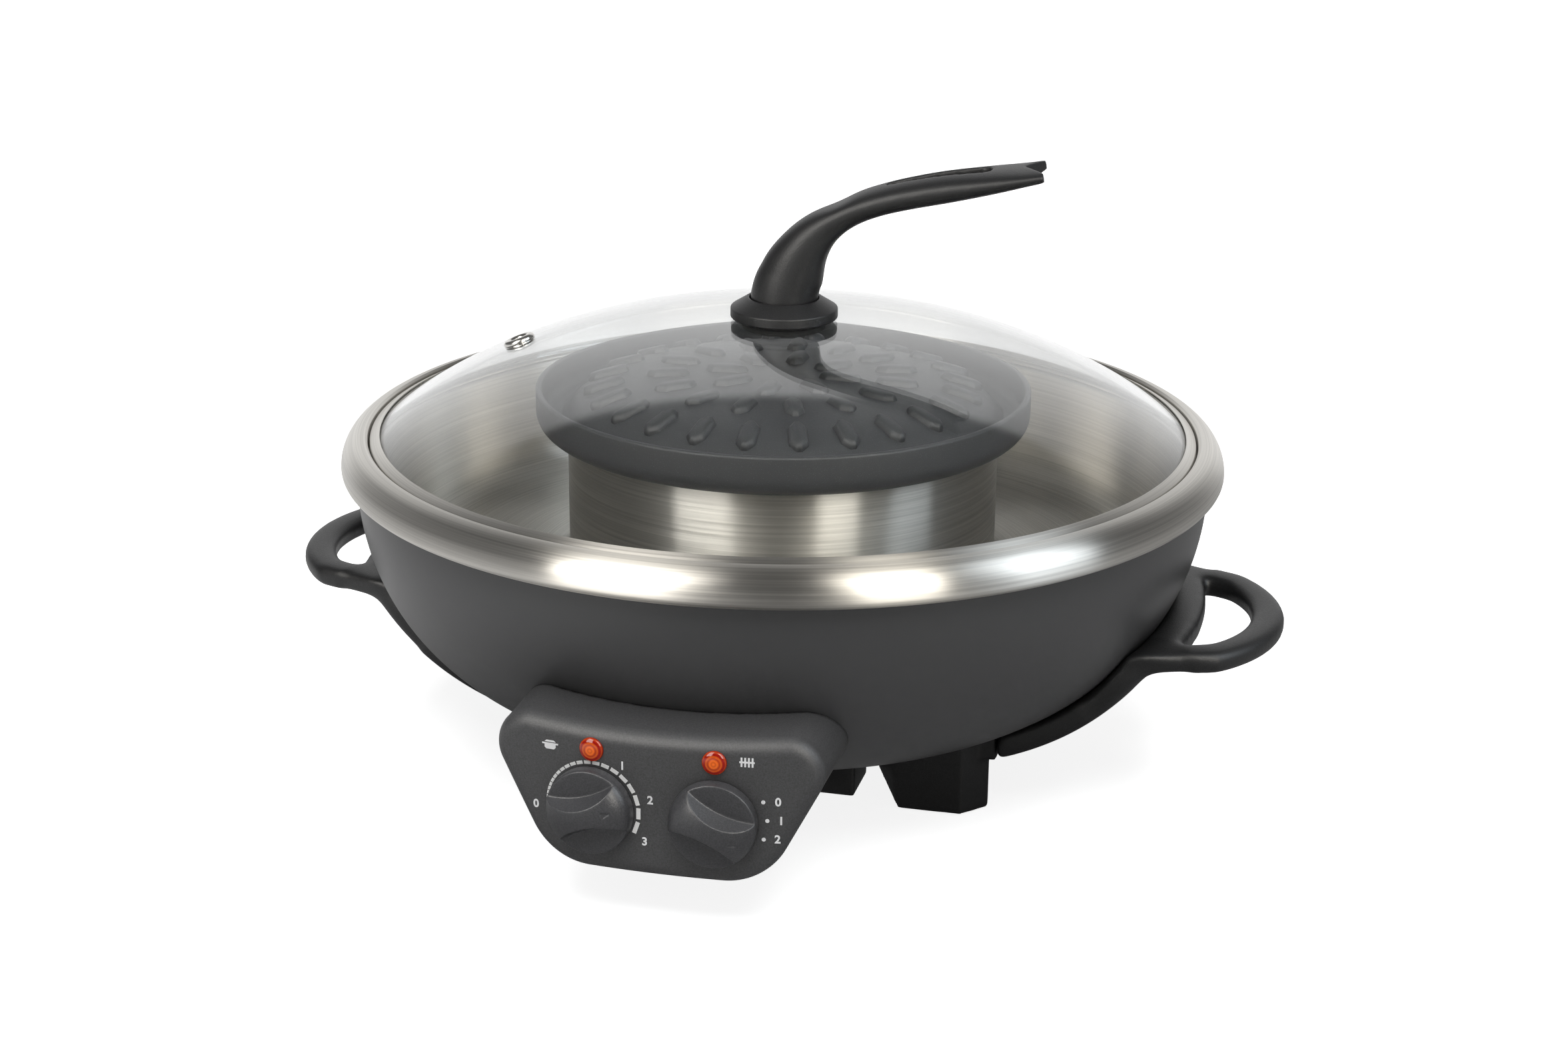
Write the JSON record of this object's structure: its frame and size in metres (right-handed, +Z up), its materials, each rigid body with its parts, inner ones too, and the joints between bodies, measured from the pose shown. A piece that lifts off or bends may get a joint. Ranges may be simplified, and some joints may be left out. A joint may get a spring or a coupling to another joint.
{
  "type": "electric hot pot",
  "caption": "Electric hot pot with a painted bowl, stainless trough, central grill plate, front control panel with knobs, loop side handles and a lift-off glass lid with a gooseneck handle.",
  "frame": {"origin": "point on the table under the pot's axis, in the plane of the foot pads' undersides", "axes": "+Z up along the pot's axis, -Y towards the control panel, +X towards the right-hand side handle"},
  "size_m": [0.44, 0.4049, 0.2633],
  "materials": {
    "black_plastic": "fine-textured moulded plastic",
    "black_paint": "satin black enamel paint",
    "stainless_steel": "circular brushed",
    "nonstick_cast": "dark speckled non-stick coating",
    "cast_aluminium": "as cast",
    "zinc_steel": "zinc plated",
    "black_rubber": "matte",
    "phenolic": "moulded phenolic",
    "white_plastic": "moulded",
    "red_lens": "clear red lens",
    "clear_glass": "clear tempered"
  },
  "bodies": {
    "base": {"base_tray": "black_plastic", "base_cover": "black_plastic", "cover_screws": "zinc_steel", "foot_pads": "black_rubber", "left_handle": "black_plastic", "right_handle": "black_plastic", "handle_screws": "zinc_steel", "cord_gland": "black_rubber", "terminal_block": "white_plastic", "outer_bowl": "black_paint", "inner_pot": "stainless_steel", "pot_pedestal": "stainless_steel", "pot_studs": "zinc_steel", "stud_nuts": "zinc_steel", "heat_reflector": "zinc_steel", "pot_heater": "zinc_steel", "grill_heater": "zinc_steel", "heater_plate": "cast_aluminium", "plate_studs": "zinc_steel", "plate_nuts": "zinc_steel", "thermal_cutout": "phenolic", "control_housing": "black_plastic", "housing_screws": "zinc_steel", "thermostat": "phenolic", "selector_switch": "phenolic", "lamp_holders": "white_plastic", "pot_lamp_lens": "red_lens", "grill_lamp_lens": "red_lens"},
    "pot_dial": {"thermostat_shaft": "zinc_steel", "pot_knob": "black_plastic"},
    "grill_dial": {"selector_shaft": "zinc_steel", "grill_knob": "black_plastic"},
    "grill": {"grill_plate": "nonstick_cast"},
    "lid": {"lid_glass": "clear_glass", "lid_band": "stainless_steel", "lid_vent": "stainless_steel", "lid_washers": "black_rubber", "lid_collar": "black_plastic", "lid_handle": "black_plastic", "lid_screw": "zinc_steel"}
  },
  "joints": [
    {"name": "pot_knob_turn", "type": "hinge", "parent": "base", "child": "pot_dial", "pos_m": [-0.0242, -0.19911, 0.0498], "axis": [-0.0733, -0.9973, 0], "range_deg": [-72, 163]},
    {"name": "grill_knob_turn", "type": "hinge", "parent": "base", "child": "grill_dial", "pos_m": [0.0242, -0.19911, 0.0498], "axis": [0.0733, -0.9973, 0], "range_deg": [0, 46]},
    {"name": "grill_lift", "type": "slide", "parent": "base", "child": "grill", "axis": [0, 0, 1], "range_m": [0, 0.16]},
    {"name": "lid_lift", "type": "slide", "parent": "grill", "child": "lid", "axis": [0, 0, 1], "range_m": [0, 0.2]}
  ]
}
